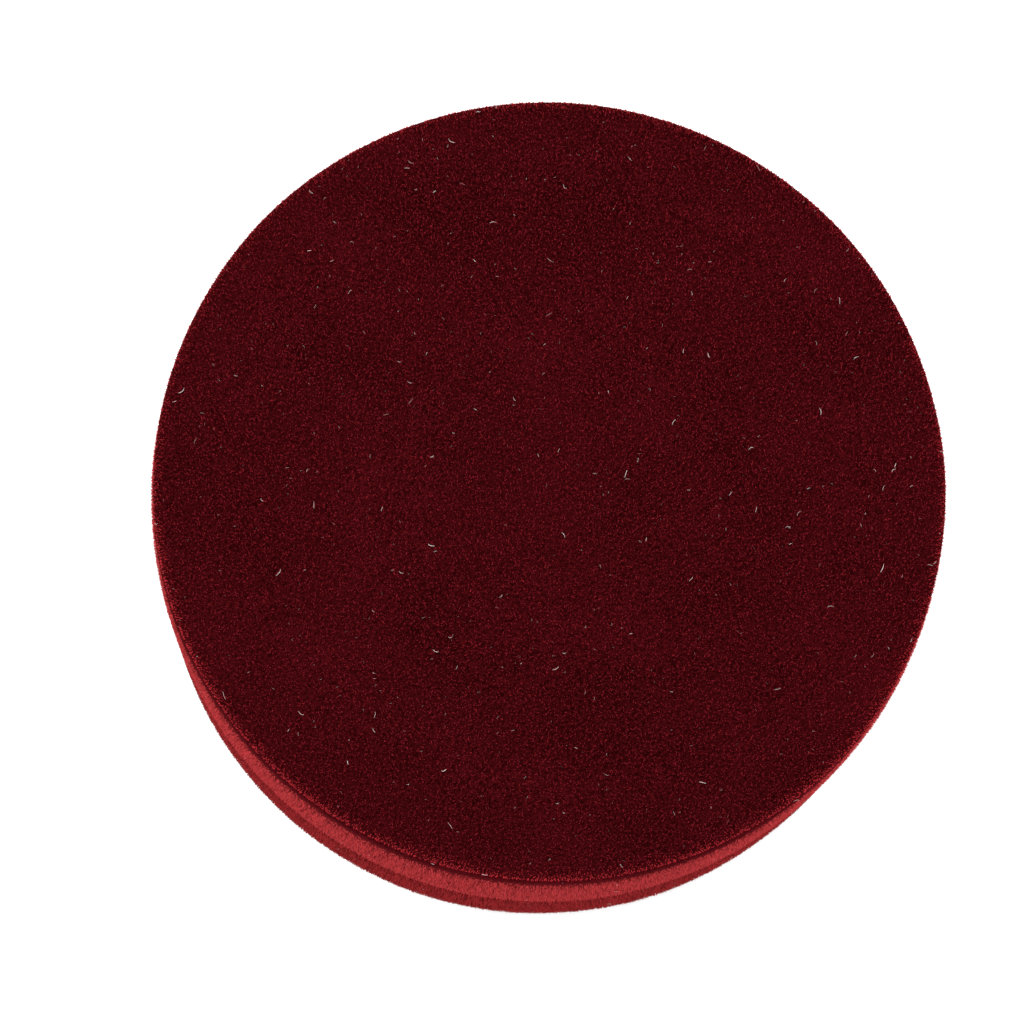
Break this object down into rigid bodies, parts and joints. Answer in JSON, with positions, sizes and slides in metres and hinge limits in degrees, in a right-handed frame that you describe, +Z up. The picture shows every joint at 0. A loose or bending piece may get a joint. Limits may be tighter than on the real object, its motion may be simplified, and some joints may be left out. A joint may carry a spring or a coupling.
{
  "type": "round velvet jewellery box",
  "caption": "Low round box covered in velvet, with a padded top, a hinged lid, a mirror inside the lid, ring rolls and compartments.",
  "frame": {"origin": "centre of the underside", "axes": "+Z up, front of the box towards -Y, hinge at the back towards +Y, +X to the right seen from the front"},
  "size_m": [0.1, 0.1, 0.05],
  "materials": {
    "outer_velvet": "burgundy velvet, short upright pile",
    "lining_velvet": "burgundy velvet, finer and shorter pile",
    "moulded_plastic": "plain moulded, hidden",
    "board": "grey pressed board, hidden",
    "foam": "soft open-cell foam, hidden",
    "brass": "brushed, slightly dulled",
    "magnet": "nickel plated, hidden",
    "mirror": "silvered glass"
  },
  "bodies": {
    "base": {"base_wall_velvet": "outer_velvet", "foot_velvet": "outer_velvet", "base_lining_velvet": "lining_velvet", "floor_pad_velvet": "lining_velvet", "centre_divider_velvet": "lining_velvet", "cross_divider_velvet": "lining_velvet", "ring_roll_1_velvet": "lining_velvet", "ring_roll_2_velvet": "lining_velvet", "ring_roll_3_velvet": "lining_velvet", "base_cup": "moulded_plastic", "foot_board": "board", "base_lining_board": "board", "centre_divider_board": "board", "cross_divider_board": "board", "floor_pad_foam": "foam", "ring_roll_1_foam": "foam", "ring_roll_2_foam": "foam", "ring_roll_3_foam": "foam", "base_hinge_leaf": "brass", "hinge_pin": "brass", "base_rivet_left": "brass", "base_rivet_right": "brass", "base_magnet": "magnet"},
    "lid": {"lid_cup": "moulded_plastic", "lid_wall_velvet": "outer_velvet", "lid_magnet": "magnet", "lid_hinge_leaf": "brass", "lid_rivet_left": "brass", "lid_rivet_right": "brass", "lid_top_velvet": "outer_velvet", "lid_top_foam": "foam", "lid_top_board": "board", "lid_lining_velvet": "lining_velvet", "lid_lining_board": "board", "mirror_backing_board": "board", "mirror_glass": "mirror", "mirror_spacer_board": "board", "mirror_bezel_velvet": "lining_velvet", "mirror_bezel_board": "board"}
  },
  "joints": [
    {"name": "lid_hinge", "type": "hinge", "parent": "base", "child": "lid", "pos_m": [0, 0.0483, 0.0225], "axis": [-1, 0, 0], "range_deg": [0, 100]}
  ]
}
